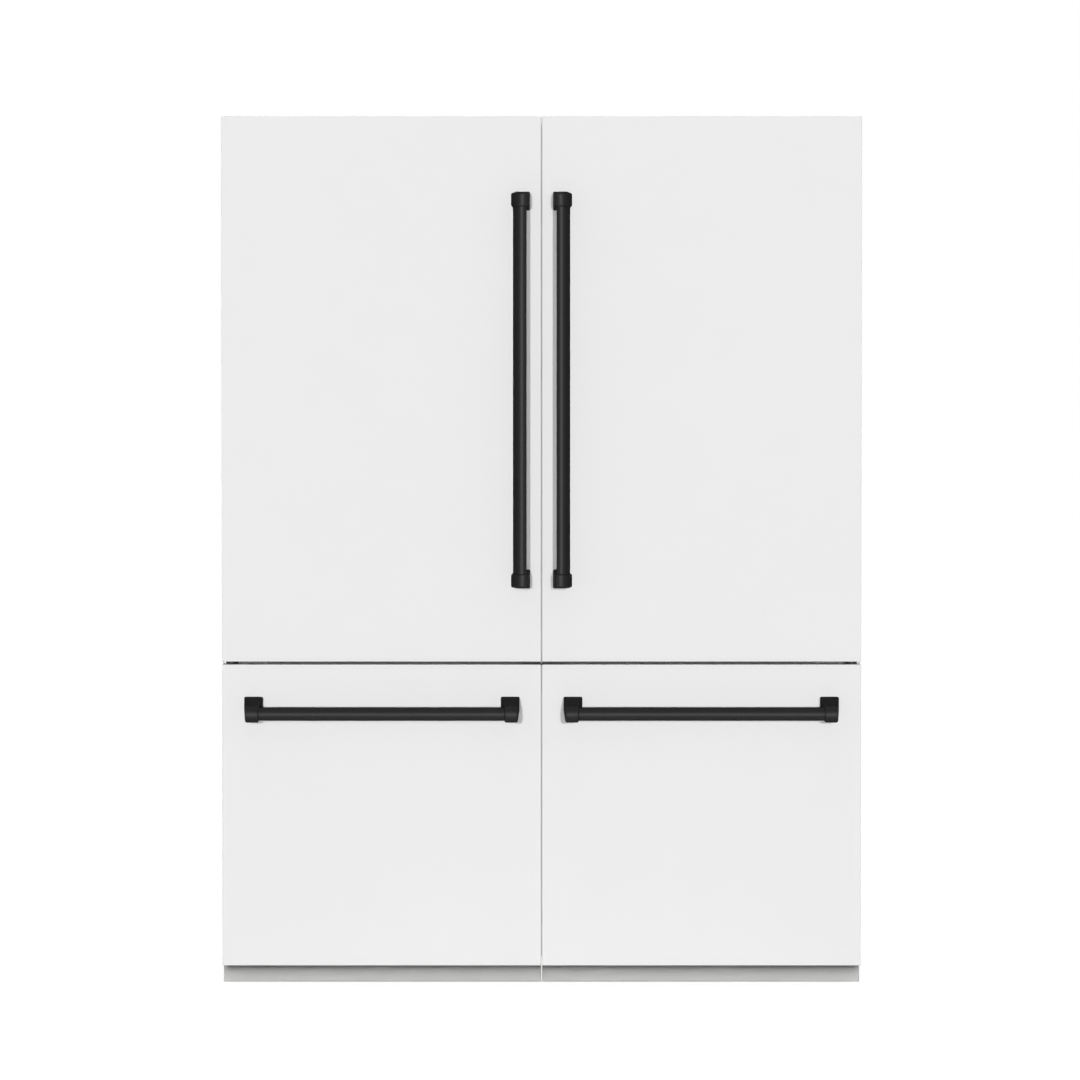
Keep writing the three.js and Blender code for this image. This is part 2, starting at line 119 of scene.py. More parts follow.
# Lights: power, then azimuth, elevation and spread in degrees.
WORLD_LIGHT = 0.2
FLOOR_GLOW = 0.86
KEY_LIGHT = {"power": 1.25, "azimuth": 9.6, "elevation": 5.7, "spread": 3}
FRONT_LIGHT = {"power": 0.92, "elevation": 2, "spread": 2}
BASE_LIGHT = {"power": 7.0, "elevation": 38, "spread": 60}
DOOR_GLINT = {"power": 1.6, "azimuth": 34, "elevation": 0, "spread": 38}
DRAWER_GLINT = {"power": 1.6, "elevation": -8, "spread": 38}
TOP_LIGHT = {"power": 0.6, "elevation": 89, "spread": 20}
REAR_LIGHT = {"power": 1.4, "azimuth": 140, "elevation": 30, "spread": 40}


# ---------------------------------------------------------------- materials


def principled(name, color, roughness, metallic=0.0):
    material = bpy.data.materials.new(name)
    material.use_nodes = True
    shader = material.node_tree.nodes["Principled BSDF"]
    shader.inputs["Base Color"].default_value = (*color, 1.0)
    shader.inputs["Roughness"].default_value = roughness
    shader.inputs["Metallic"].default_value = metallic
    return material


def set_socket(material, name, value):
    material.node_tree.nodes["Principled BSDF"].inputs[name].default_value = value


def object_mapping(tree, stretch):
    place = tree.nodes.new("ShaderNodeTexCoord")
    mapping = tree.nodes.new("ShaderNodeMapping")
    mapping.inputs["Scale"].default_value = stretch
    tree.links.new(place.outputs["Object"], mapping.inputs["Vector"])
    return mapping.outputs["Vector"]


def add_grain(material, scale, roughness, bump, stretch=(1, 1, 1), detail=4.0):
    """Noise that varies the roughness over the range given and bumps the surface slightly."""
    tree = material.node_tree
    shader = tree.nodes["Principled BSDF"]
    noise = tree.nodes.new("ShaderNodeTexNoise")
    noise.inputs["Scale"].default_value = scale
    noise.inputs["Detail"].default_value = detail
    tree.links.new(object_mapping(tree, stretch), noise.inputs["Vector"])
    spread = tree.nodes.new("ShaderNodeMapRange")
    spread.inputs["To Min"].default_value = roughness[0]
    spread.inputs["To Max"].default_value = roughness[1]
    tree.links.new(noise.outputs["Fac"], spread.inputs["Value"])
    tree.links.new(spread.outputs["Result"], shader.inputs["Roughness"])
    relief = tree.nodes.new("ShaderNodeBump")
    relief.inputs["Strength"].default_value = bump
    relief.inputs["Distance"].default_value = GRAIN_DEPTH_M
    tree.links.new(noise.outputs["Fac"], relief.inputs["Height"])
    tree.links.new(relief.outputs["Normal"], shader.inputs["Normal"])
    return material


def add_colour_patches(material, scale, dark, light, stretch=(1, 1, 1), cells=False):
    """Lets the base colour wander between two close tones, in soft patches or in hard cells."""
    tree = material.node_tree
    shader = tree.nodes["Principled BSDF"]
    kind = "ShaderNodeTexVoronoi" if cells else "ShaderNodeTexNoise"
    pattern = tree.nodes.new(kind)
    pattern.inputs["Scale"].default_value = scale
    tree.links.new(object_mapping(tree, stretch), pattern.inputs["Vector"])
    ramp = tree.nodes.new("ShaderNodeValToRGB")
    ramp.color_ramp.elements[0].color = (*dark, 1.0)
    ramp.color_ramp.elements[1].color = (*light, 1.0)
    source = pattern.outputs["Color"] if cells else pattern.outputs["Fac"]
    tree.links.new(source, ramp.inputs["Fac"])
    tree.links.new(ramp.outputs["Color"], shader.inputs["Base Color"])
    return material


def white_enamel():
    material = principled("white enamel", color=(0.86, 0.86, 0.86), roughness=0.5)
    add_colour_patches(material, scale=6.0, dark=(0.852, 0.852, 0.852), light=(0.868, 0.868, 0.868))
    return add_grain(material, scale=900.0, roughness=(0.44, 0.54), bump=0.05)


def black_coat():
    material = principled("black coat", color=(0.052, 0.052, 0.0525), roughness=0.42, metallic=0.42)
    set_socket(material, "Specular IOR Level", 0.0)
    set_socket(material, "Specular Tint", (0.0, 0.0, 0.0, 1.0))
    return add_grain(material, scale=1500.0, roughness=(0.36, 0.46), bump=0.12)


def brushed_stainless():
    material = principled("brushed stainless", color=(0.6, 0.6, 0.59), roughness=0.34, metallic=1.0)
    streaks = (1, 60, 60)
    add_colour_patches(
        material, scale=12.0, dark=(0.52, 0.52, 0.51), light=(0.66, 0.66, 0.65), stretch=streaks,
    )
    return add_grain(material, scale=14.0, roughness=(0.28, 0.44), bump=0.1, stretch=streaks)


def grey_shell():
    material = principled("grey shell paint", color=(0.28, 0.29, 0.30), roughness=0.45)
    add_colour_patches(material, scale=3.0, dark=(0.27, 0.28, 0.29), light=(0.29, 0.30, 0.31))
    return add_grain(material, scale=500.0, roughness=(0.38, 0.5), bump=0.08)


def galvanised_steel():
    material = principled("galvanised steel", color=(0.5, 0.52, 0.53), roughness=0.4, metallic=1.0)
    add_colour_patches(
        material, scale=110.0, dark=(0.42, 0.44, 0.45), light=(0.62, 0.64, 0.65), cells=True,
    )
    return add_grain(material, scale=160.0, roughness=(0.3, 0.5), bump=0.05)


def dark_steel():
    material = principled("dark hinge steel", color=(0.05, 0.052, 0.055), roughness=0.4, metallic=0.7)
    return add_grain(material, scale=700.0, roughness=(0.32, 0.48), bump=0.08)


def liner_white():
    material = principled("liner plastic", color=(0.88, 0.89, 0.89), roughness=0.24)
    return add_grain(material, scale=25.0, roughness=(0.2, 0.28), bump=0.03, detail=2.0)


def gasket_vinyl():
    material = principled("gasket vinyl", color=(0.58, 0.60, 0.60), roughness=0.6)
    return add_grain(material, scale=300.0, roughness=(0.5, 0.68), bump=0.1)


def shelf_glass():
    material = principled("shelf glass", color=(0.72, 0.86, 0.82), roughness=0.02)
    set_socket(material, "Alpha", 0.3)
    return add_grain(material, scale=8.0, roughness=(0.0, 0.03), bump=0.01, detail=1.0)


def clear_plastic():
    material = principled("clear plastic", color=(0.86, 0.9, 0.91), roughness=0.06)
    set_socket(material, "Alpha", 0.34)
    return add_grain(material, scale=30.0, roughness=(0.03, 0.1), bump=0.02, detail=2.0)


def frosted_plastic():
    material = principled("frosted plastic", color=(0.86, 0.89, 0.9), roughness=0.4)
    set_socket(material, "Transmission Weight", 0.35)
    set_socket(material, "IOR", 1.46)
    return add_grain(material, scale=400.0, roughness=(0.32, 0.48), bump=0.1)


def compressor_black():
    material = principled("compressor enamel", color=(0.013, 0.013, 0.014), roughness=0.25)
    return add_grain(material, scale=60.0, roughness=(0.18, 0.34), bump=0.06)


def aluminium():
    material = principled("aluminium", color=(0.72, 0.74, 0.75), roughness=0.35, metallic=1.0)
    add_colour_patches(material, scale=20.0, dark=(0.66, 0.68, 0.69), light=(0.76, 0.78, 0.79))
    return add_grain(material, scale=220.0, roughness=(0.26, 0.42), bump=0.05)


def satin_trim():
    material = principled("satin metal trim", color=(0.78, 0.79, 0.8), roughness=0.26, metallic=1.0)
    streaks = (1, 50, 50)
    return add_grain(material, scale=20.0, roughness=(0.2, 0.34), bump=0.04, stretch=streaks)


# Dark plastic for the real dark parts. The vent and drain slots also use it, and there its dark is
# painted shade standing in for openings.
def dark_plastic_and_slot_shade():
    material = principled("dark plastic", color=(0.032, 0.032, 0.034), roughness=0.45)
    return add_grain(material, scale=600.0, roughness=(0.38, 0.52), bump=0.08)


def seam_filler():
    material = principled("seam filler", color=(0.82, 0.82, 0.82), roughness=0.6)
    return add_grain(material, scale=300.0, roughness=(0.5, 0.7), bump=0.06)


def copper():
    material = principled("copper", color=(0.82, 0.38, 0.24), roughness=0.3, metallic=1.0)
    add_colour_patches(material, scale=30.0, dark=(0.66, 0.28, 0.17), light=(0.88, 0.44, 0.29))
    return add_grain(material, scale=120.0, roughness=(0.2, 0.42), bump=0.05)


def lamp_glow():
    material = principled("lamp lens", color=(0.95, 0.96, 0.97), roughness=0.4)
    set_socket(material, "Emission Color", (1.0, 0.98, 0.95, 1.0))
    set_socket(material, "Emission Strength", 2.5)
    return add_grain(material, scale=500.0, roughness=(0.34, 0.46), bump=0.05)


FINISHES = {
    "white_panel": white_enamel(),
    "black_pull": black_coat(),
    "stainless": brushed_stainless(),
    "grey_shell": grey_shell(),
    "galvanised": galvanised_steel(),
    "dark_steel": dark_steel(),
    "liner": liner_white(),
    "gasket": gasket_vinyl(),
    "shelf_glass": shelf_glass(),
    "clear_plastic": clear_plastic(),
    "frosted_plastic": frosted_plastic(),
    "compressor_black": compressor_black(),
    "aluminium_fin": aluminium(),
}
SATIN_TRIM = satin_trim()
DARK_PLASTIC_AND_SLOT_SHADE = dark_plastic_and_slot_shade()
SEAM_FILLER = seam_filler()
COPPER = copper()
LAMP_GLOW = lamp_glow()

# ---------------------------------------------------------------- drawing in column millimetres


def add_block(shape, x, y, z, rounding=1.0, segments=2):
    made = bmesh.ops.create_cube(shape, size=1.0)["verts"]
    for vertex in made:
        vertex.co.x = x[0] if vertex.co.x < 0 else x[1]
        vertex.co.y = y[0] if vertex.co.y < 0 else y[1]
        vertex.co.z = z[0] if vertex.co.z < 0 else z[1]
    edges = list({edge for vertex in made for edge in vertex.link_edges})
    bmesh.ops.bevel(
        shape, geom=edges, offset=rounding, segments=segments, profile=0.5, affect="EDGES",
        clamp_overlap=True,
    )


def rounded_outline(u, v, radius, steps=5):
    """Points round a rectangle with rounded corners, anticlockwise."""
    centres = (
        (u[1] - radius, v[1] - radius, 0),
        (u[0] + radius, v[1] - radius, 90),
        (u[0] + radius, v[0] + radius, 180),
        (u[1] - radius, v[0] + radius, 270),
    )
    points = []
    for cu, cv, start in centres:
        for step in range(steps + 1):
            angle = math.radians(start + 90 * step / steps)
            points.append((cu + radius * math.cos(angle), cv + radius * math.sin(angle)))
    return points


def shrink(span, by):
    return (span[0] + by, span[1] - by)


def add_loft(shape, rings, loop=False):
    """Joins rings of points one to the next. Open lofts get end caps; a loop closes on itself."""
    made = [[shape.verts.new(point) for point in ring] for ring in rings]
    following = made[1:] + (made[:1] if loop else [])
    for ring, after in zip(made, following):
        for i in range(len(ring)):
            j = (i + 1) % len(ring)
            shape.faces.new((ring[i], ring[j], after[j], after[i]))
    if not loop:
        shape.faces.new(list(reversed(made[0])))
        shape.faces.new(made[-1])


def add_tub(shape, x, y, z, wall, radius, rim_x=None, slope=3.0):
    """An open tub with rounded corners, walls that lean out slightly and a rolled rim."""
    rim = x[0] - (rim_x or x)[0]
    lip = 4.0
    stations = (
        (slope + 5, z[0]), (slope + 1.5, z[0] + 1.5), (slope, z[0] + 5), (1.2, z[1] - lip - 2),
        (1.0 - rim, z[1] - lip), (-rim, z[1] - lip + 1), (-rim, z[1] - 1), (1.0 - rim, z[1]),
        (wall - 0.6, z[1]), (wall, z[1] - 1), (slope + wall, z[0] + wall + 4),
        (slope + wall + 1.5, z[0] + wall + 1), (slope + wall + 5, z[0] + wall),
    )
    rings = []
    for inset, level in stations:
        corner = max(radius - inset, 1.0)
        y_inset = max(inset, 0.0)
        outline = rounded_outline(shrink(x, inset), shrink(y, y_inset), corner)
        rings.append([Vector((u, v, level)) for u, v in outline])
    add_loft(shape, rings)


def add_flat_frame(shape, x, y, profile, corner):
    """A frame lying flat. The profile is a closed loop of (distance in from the outside, z)."""
    rings = []
    for inset, level in profile:
        outline = rounded_outline(shrink(x, inset), shrink(y, inset), max(corner - inset, 0.8))
        rings.append([Vector((u, v, level)) for u, v in outline])
    add_loft(shape, rings, loop=True)


def add_upright_frame(shape, x, z, profile, corner):
    """A frame facing the front. The profile is a closed loop of (distance in from outside, y)."""
    rings = []
    for inset, y in profile:
        outline = rounded_outline(shrink(x, inset), shrink(z, inset), max(corner - inset, 0.8))
        rings.append([Vector((u, y, v)) for u, v in outline])
    add_loft(shape, rings, loop=True)


AXES = {
    "x": (Vector((1, 0, 0)), Vector((0, 1, 0)), Vector((0, 0, 1))),
    "y": (Vector((0, 1, 0)), Vector((0, 0, 1)), Vector((1, 0, 0))),
    "z": (Vector((0, 0, 1)), Vector((1, 0, 0)), Vector((0, 1, 0))),
}


def add_turned(shape, base, axis, profile, sides=32):
    """A solid of revolution: the profile is a list of (radius, distance along the axis)."""
    along, u, v = AXES[axis]
    rings = []
    for radius, distance in profile:
        ring = []
        for i in range(sides):
            angle = 2 * math.pi * i / sides
            spoke = u * math.cos(angle) + v * math.sin(angle)
            ring.append(Vector(base) + along * distance + spoke * radius)
        rings.append(ring)
    add_loft(shape, rings)


def add_screw(shape, base, axis, radius=4.0):
    """A pan-head screw with a round recess, standing on a surface."""
    height = 2.0
    recess = 0.45 * radius
    profile = (
        (radius, -0.2), (radius, 0.45 * height), (0.82 * radius, 0.9 * height),
        (recess + 0.5, height), (recess, 0.96 * height), (recess * 0.95, 0.3 * height),
    )
    add_turned(shape, base, axis, profile, sides=18)


def to_world(side, point):
    x = HAND[side] * (point.x - COLUMN_WIDTH - SEAM / 2)
    return Vector((x, point.y + COLUMN_SHIFT_Y, point.z)) * MM


def show(name, body, shape, slot, finish=None, smooth=SMOOTH_ANGLE):
    """Turns a finished drawing into a smooth-shaded object that rides on a body."""
    mesh = bpy.data.meshes.new(name)
    shape.to_mesh(mesh)
    shape.free()
    mesh.shade_smooth()
    mesh.set_sharp_from_angle(angle=math.radians(smooth))
    mesh.materials.append(finish or FINISHES[slot])
    piece = bpy.data.objects.new(name, mesh)
    bpy.context.scene.collection.objects.link(piece)
    flat_faces = piece.modifiers.new("flat faces stay flat", "WEIGHTED_NORMAL")
    flat_faces.keep_sharp = True
    flat_faces.weight = FLAT_FACE_WEIGHT
    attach(piece, body)
    return piece


def publish(side, body, name, shape, slot, finish=None, smooth=SMOOTH_ANGLE):
    """Shows a drawing made in column millimetres."""
    for vertex in shape.verts:
        vertex.co = to_world(side, vertex.co)
    bmesh.ops.recalc_face_normals(shape, faces=shape.faces)
    return show(f"{side}_{name}", body, shape, slot, finish, smooth)


def outer_planes(edge, low, high):
    """The sides of the box from low to high that an edge lies in, each as (axis, is the high one)."""
    ends = [vertex.co for vertex in edge.verts]
    found = set()
    for axis in range(3):
        for limit in (low, high):
            if all(abs(end[axis] - limit[axis]) < ON_PLANE_M for end in ends):
                found.add((axis, limit is high))
    return found


def round_cad(side, name, radius, body, slot, segments=3, keep_back=False):
    """Stands in for a sheet-metal or moulded CAD node with its outer edges rounded."""
    node = frame["nodes"][f"{side}_{name}"]
    low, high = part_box(node.name)
    shape = bmesh.new()
    shape.from_mesh(node.data)
    bmesh.ops.remove_doubles(shape, verts=shape.verts, dist=SAME_POINT_M)
    bmesh.ops.dissolve_limit(
        shape, angle_limit=math.radians(COPLANAR_DEGREES), verts=shape.verts, edges=shape.edges,
    )
    back = (1, True)
    chosen = []
    for edge in shape.edges:
        planes = outer_planes(edge, low, high)
        if keep_back:
            planes.discard(back)
        if len(planes) >= 2:
            chosen.append(edge)
    bmesh.ops.bevel(
        shape, geom=chosen, offset=radius * MM, segments=segments, profile=0.5, affect="EDGES",
        clamp_overlap=True,
    )
    piece = show(f"{side}_{name}_rounded", body, shape, slot)
    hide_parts(node.name)


# ---------------------------------------------------------------- pull bars


def post_point(centre, across, along, y, axis):
    dx, dz = (across, along) if axis == "z" else (along, across)
    return Vector((centre[0] + dx, y, centre[1] + dz))


def foot_points(foot, axis):
    """Corner points of the rounded foot of a post, which stands on the door or drawer."""
    half_across = POST_FOOT["across"] / 2
    half_along = POST_FOOT["along"] / 2
    edge = POST_FOOT["edge"]
    front = FACE_Y - POST_FOOT["height"]
    points = []
    for inset, y in ((0.0, FACE_Y - POST_FOOT["sunk"]), (0.0, front + edge), (edge, front)):
        outline = rounded_outline(
            (inset - half_across, half_across - inset), (inset - half_along, half_along - inset),
            POST_FOOT["corner"], steps=6,
        )
        points += [post_point(foot, across, along, y, axis) for across, along in outline]
    return points


def collar_points(collar, axis):
    """Corner points of the round collar of a post, which holds the bar."""
    outside = COLLAR["radius"]
    half = COLLAR["length"] / 2
    soft = COLLAR["chamfer"]
    shoulder = COLLAR["shoulder"]
    rings = ((outside, half - soft), (outside - shoulder, half - shoulder), (outside - soft, half))
    points = []
    for radius, end in rings:
        for i in range(COLLAR["sides"]):
            angle = 2 * math.pi * i / COLLAR["sides"]
            across = radius * math.cos(angle)
            y = BAR_Y + radius * math.sin(angle)
            points.append(post_point(collar, across, end, y, axis))
            points.append(post_point(collar, across, -end, y, axis))
    return points


def add_post(shape, foot, collar, axis):
    """The post is the convex hull of its foot and its collar."""
    corners = foot_points(foot, axis) + collar_points(collar, axis)
    made = [shape.verts.new(point) for point in corners]
    hull = bmesh.ops.convex_hull(shape, input=made)
    spare = [item for item in hull["geom_interior"] if isinstance(item, bmesh.types.BMVert)]
    bmesh.ops.delete(shape, geom=spare, context="VERTS")


def bar_profile(length, edge=1):
    inner = BAR_RADIUS - edge
    return ((inner, 0), (BAR_RADIUS, edge), (BAR_RADIUS, length - edge), (inner, length))


def handle(side, name, body, pull, axis):
    low, high = pull["ends"]
    out = COLLAR["outward"]
    shape = bmesh.new()
    base = (pull["bar"], BAR_Y, low) if axis == "z" else (low, BAR_Y, pull["bar"])
    add_turned(shape, base, axis, bar_profile(high - low), sides=64)
    for foot_at, collar_at in ((low, low - out), (high, high + out)):
        foot = (pull["foot"], foot_at) if axis == "z" else (foot_at, pull["foot"])
        collar = (pull["bar"], collar_at) if axis == "z" else (collar_at, pull["bar"])
        add_post(shape, foot, collar, axis)
    piece = publish(side, body, f"{name}_smooth", shape, "black_pull", smooth=PULL_SMOOTH_ANGLE)
    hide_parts(f"{side}_{name}")


# ---------------------------------------------------------------- doors and drawers


def gasket(side, name, body, z):
    """A bellows gasket: a flat base on the door, a pleat and a soft magnetic face."""
    profile = (
        (1, -9.7), (0, -8.6), (2.5, -7.4), (1.2, -6.0), (1.0, -1.4), (2.4, -0.6),
        (13.6, -0.6), (15.0, -1.4), (14.8, -6.0), (13.5, -7.4), (16, -8.6), (15, -9.7),
    )
    shape = bmesh.new()
    add_upright_frame(shape, x=(18, COLUMN_WIDTH - 18), z=z, profile=profile, corner=10)
    piece = publish(side, body, f"{name}_pleated", shape, "gasket")
    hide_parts(f"{side}_{name}")


def door_bin(side, name, level):
    body = f"{side}_door"
    top = level + BIN["height"]
    shape = bmesh.new()
    add_tub(shape, x=BIN["x"], y=BIN["y"], z=(level, top), wall=3, radius=12, slope=2.0)
    piece = publish(side, body, f"{name}_moulded", shape, "clear_plastic")
    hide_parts(f"{side}_{name}")
    trim = bmesh.new()
    add_block(trim, x=(100, 656), y=(84.6, 86.6), z=(top - 30, top - 8), rounding=0.8)
    publish(side, body, f"{name}_trim", trim, "clear_plastic", SATIN_TRIM)
    ribs = bmesh.new()
    for x in range(130, 640, 42):
        add_block(ribs, x=(x, x + 3), y=(2, 74), z=(level + 2.8, level + 4.4), rounding=0.6)
    publish(side, body, f"{name}_floor_ribs", ribs, "clear_plastic")


def edge_seal(side, name, body, z):
    """A thin pale seal down the seam edge of a door or drawer front."""
    seal = bmesh.new()
    edge = (COLUMN_WIDTH - 0.2, COLUMN_WIDTH + 0.95)
    add_block(seal, x=edge, y=(FACE_Y + 1.8, -14), z=shrink(z, 2), rounding=0.3)
    publish(side, body, f"{name}_edge_seal", seal, "gasket", SEAM_FILLER)


def door_details(side):
    body = f"{side}_door"
    edge_seal(side, "door", body, DOOR_Z)
    bush = bmesh.new()
    ring = ((12, 0), (12, 2.8), (11, 3.4), (7.2, 3.4))
    add_turned(bush, (*HINGE_PIN, PIN_BUSH_Z), "z", ring)
    publish(side, body, "door_pin_bush", bush, "dark_steel", DARK_PLASTIC_AND_SLOT_SHADE)
    guide = bmesh.new()
    guide_z = (DOOR_Z[0] - 1.6, DOOR_Z[0] + 0.1)
    add_block(guide, x=(700, 755), y=(FACE_Y + 3, -16), z=guide_z, rounding=0.5)
    publish(side, body, "door_bottom_guide", guide, "dark_steel", DARK_PLASTIC_AND_SLOT_SHADE)
    bead = bmesh.new()
    ridge = ((0, -10.4), (0.6, -8.6), (3.2, -8.6), (3.8, -10.4))
    add_upright_frame(bead, x=(96, 660), z=(1090, 1941), profile=ridge, corner=14)
    publish(side, body, "door_inner_bead", bead, "liner")


def drawer_details(side):
    body = f"{side}_drawer"
    edge_seal(side, "drawer", body, DRAWER_Z)
    screws = bmesh.new()
    for x in (130, 254, 378, 502, 626):
        add_screw(screws, (x, -6.2, 392), "y")
    publish(side, body, "drawer_bracket_screws", screws, "galvanised")
    tub = bmesh.new()
    add_tub(tub, x=TUB["x"], y=TUB["y"], z=TUB["z"], wall=3, radius=22, rim_x=TUB["rim_x"], slope=2.0)
    piece = publish(side, body, "freezer_tub_moulded", tub, "frosted_plastic")
    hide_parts(f"{side}_freezer_tub")
    divider = bmesh.new()
    divider_y = (11, 312)
    add_block(divider, x=(MIDDLE_X - 1.5, MIDDLE_X + 1.5), y=divider_y, z=(131, 300), rounding=1.2)
    add_block(divider, x=(MIDDLE_X - 7, MIDDLE_X + 7), y=divider_y, z=(297, 303), rounding=2.4)
    publish(side, body, "freezer_tub_divider", divider, "frosted_plastic", FINISHES["clear_plastic"])


def tray_details(side):
    body = f"{side}_tray"
    tray = bmesh.new()
    add_tub(tray, x=TRAY["x"], y=TRAY["y"], z=TRAY["z"], wall=3, radius=20, slope=1.5)
    low, high = TRAY["rim_x"]
    for x in ((low, low + 8), (high - 8, high)):
        add_block(tray, x=x, y=(12, 301), z=(TRAY["z"][0], TRAY["z"][0] + 3), rounding=0.8)
    piece = publish(side, body, "freezer_tray_moulded", tray, "frosted_plastic")
    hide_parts(f"{side}_freezer_tray")
    grip = bmesh.new()
    add_block(grip, x=(298, 458), y=(6.4, 9.4), z=(470, 496), rounding=1.2)
    publish(side, body, "freezer_tray_grip", grip, "frosted_plastic", SATIN_TRIM)
    # The drain slots are thin dark blocks on the tray floor rather than openings: their dark is painted
    # shade.
    slots = bmesh.new()
    slot_z = (412.4, 413.0)
    for x in range(110, 650, 30):
        for y in (60, 130, 200):
            add_block(slots, x=(x, x + 6), y=(y, y + 46), z=slot_z, rounding=0.25, segments=1)
    publish(side, body, "freezer_tray_drain_slots", slots, "frosted_plastic", DARK_PLASTIC_AND_SLOT_SHADE)


# ---------------------------------------------------------------- inside the cabinet


def glass_shelf(side, name, y, level):
    pane = bmesh.new()
    pane_z = (level + PANE["bottom"], level + PANE["top"])
    add_block(pane, x=shrink(SHELF_X, PANE["inset"]), y=shrink(y, PANE["inset"]), z=pane_z, rounding=0.6)
    piece = publish(side, "cabinet", f"{name}_pane", pane, "shelf_glass")
    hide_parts(f"{side}_{name}")
    rim = bmesh.new()
    top = level + SHELF_THICKNESS
    profile = (
        (1.5, level), (0, level + 1.5), (0, top - 1.5), (1.5, top), (8, top),
        (9, pane_z[1]), (9, pane_z[0]), (14, level + 6.6), (14, level + 1), (13, level),
    )
    add_flat_frame(rim, x=SHELF_X, y=y, profile=profile, corner=8)
    publish(side, "cabinet", f"{name}_rim", rim, "liner")
    trim = bmesh.new()
    add_block(trim, x=(70, 686), y=(y[0] - 1.2, y[0] + 0.6), z=(level + 2.5, level + 9.5), rounding=0.7)
    publish(side, "cabinet", f"{name}_front_trim", trim, "stainless", SATIN_TRIM)


def crisper(side):
    shape = bmesh.new()
    add_tub(shape, x=CRISPER["x"], y=CRISPER["y"], z=CRISPER["z"], wall=3, radius=18, slope=4.0)
    piece = publish(side, "cabinet", "crisper_drawer_moulded", shape, "clear_plastic")
    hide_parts(f"{side}_crisper_drawer")
    grip = bmesh.new()
    grip_x = (228, 528)
    grip_top = CRISPER["z"][1]
    add_block(grip, x=grip_x, y=(114, 118), z=(grip_top - 26, grip_top), rounding=1.6, segments=3)
    add_block(grip, x=grip_x, y=(114, 128), z=(grip_top - 4, grip_top), rounding=1.4, segments=3)
    publish(side, "cabinet", "crisper_grip", grip, "clear_plastic", SATIN_TRIM)
    slider = bmesh.new()
    add_block(slider, x=(560, 660), y=(113.6, 116.4), z=(1048.5, 1053.5), rounding=0.6)
    add_block(slider, x=(600, 620), y=(110.6, 115), z=(1047.4, 1054.6), rounding=1.4, segments=3)
    publish(side, "cabinet", "humidity_slider", slider, "dark_steel", DARK_PLASTIC_AND_SLOT_SHADE)


def divider_strip(side):
    """A dark breaker strip on the rail between the fridge and the freezer."""
    strip = bmesh.new()
    add_block(strip, x=(101, 755.5), y=(-1.6, 0.2), z=(753, 776), rounding=0.5)
    publish(side, "cabinet", "divider_strip", strip, "dark_steel", DARK_PLASTIC_AND_SLOT_SHADE)


def cabin_lights(side):
    strips = bmesh.new()
    for x in ((49.6, 51.4), (704.6, 706.4)):
        add_block(strips, x=x, y=(58, 68), z=(1090, 1930), rounding=0.6)
    lens_x = (278, 478)
    add_block(strips, x=lens_x, y=(150, 190), z=(FRIDGE_ROOF_Z - 2, FRIDGE_ROOF_Z), rounding=0.7)
    publish(side, "cabinet", "fridge_lights", strips, "liner", LAMP_GLOW)
    freezer = bmesh.new()
    add_block(freezer, x=lens_x, y=(120, 150), z=(FREEZER_ROOF_Z - 2, FREEZER_ROOF_Z), rounding=0.7)
    publish(side, "cabinet", "freezer_light", freezer, "liner", LAMP_GLOW)


def control_strip(side):
    face = bmesh.new()
    add_block(face, x=(248, 508), y=(40, 92), z=(1983, FRIDGE_ROOF_Z), rounding=2.4, segments=4)
    publish(side, "cabinet", "control_strip", face, "dark_steel", DARK_PLASTIC_AND_SLOT_SHADE)
    marks = bmesh.new()
    dot = ((3.4, 0), (4, 0.3), (4, 0.8))
    for x in range(278, 490, 40):
        add_turned(marks, (x, 66, 1982.6), "z", dot, sides=24)
    publish(side, "cabinet", "control_marks", marks, "liner", LAMP_GLOW)


def air_vents(side):
    # The vent slots are thin dark blocks on the air tower face rather than openings: their dark is
    # painted shade.
    slots = bmesh.new()
    slot_y = (AIR_TOWER_Y - 0.5, AIR_TOWER_Y + 0.5)
    for level in range(1150, 1920, 105):
        for row in range(4):
            z = level + 9 * row
            add_block(slots, x=(318, 438), y=slot_y, z=(z, z + 4), rounding=0.4, segments=1)
    publish(side, "cabinet", "air_vent_slots", slots, "dark_steel", DARK_PLASTIC_AND_SLOT_SHADE)
    bead = bmesh.new()
    foot_y = AIR_TOWER_Y + 0.4
    crest_y = AIR_TOWER_Y - 1
    ridge = ((0, foot_y), (0.5, crest_y), (3, crest_y), (3.5, foot_y))
    add_upright_frame(bead, x=(270, 486), z=(1102, 1948), profile=ridge, corner=10)
    publish(side, "cabinet", "air_tower_bead", bead, "liner")


def freezer_fan(side):
    shape = bmesh.new()
    hub = ((FAN["hub"], 0), (16, 1), (16, 4.5), (FAN["hub"], 5))
    add_turned(shape, (MIDDLE_X, 462.6, FAN["z"]), "y", hub)
    root, tip = math.radians(18), math.radians(52)
    blade_outline = ((FAN["hub"], 0), (FAN["reach"], root), (FAN["reach"], tip), (FAN["hub"], root))
    for blade in range(FAN["blades"]):
        turn = math.radians(360 / FAN["blades"] * blade)
        corners = []
        for radius, lead in blade_outline:
            angle = turn + lead
            corners.append((MIDDLE_X + radius * math.cos(angle), FAN["z"] + radius * math.sin(angle)))
        front = [Vector((cx, 463.2 + 0.8 * i, cz)) for i, (cx, cz) in enumerate(corners)]
        back = [point + Vector((0, 1.2, 0)) for point in front]
        add_loft(shape, (front, back))
    publish(side, "cabinet", "freezer_fan", shape, "dark_steel", DARK_PLASTIC_AND_SLOT_SHADE)


# ---------------------------------------------------------------- outside of the cabinet


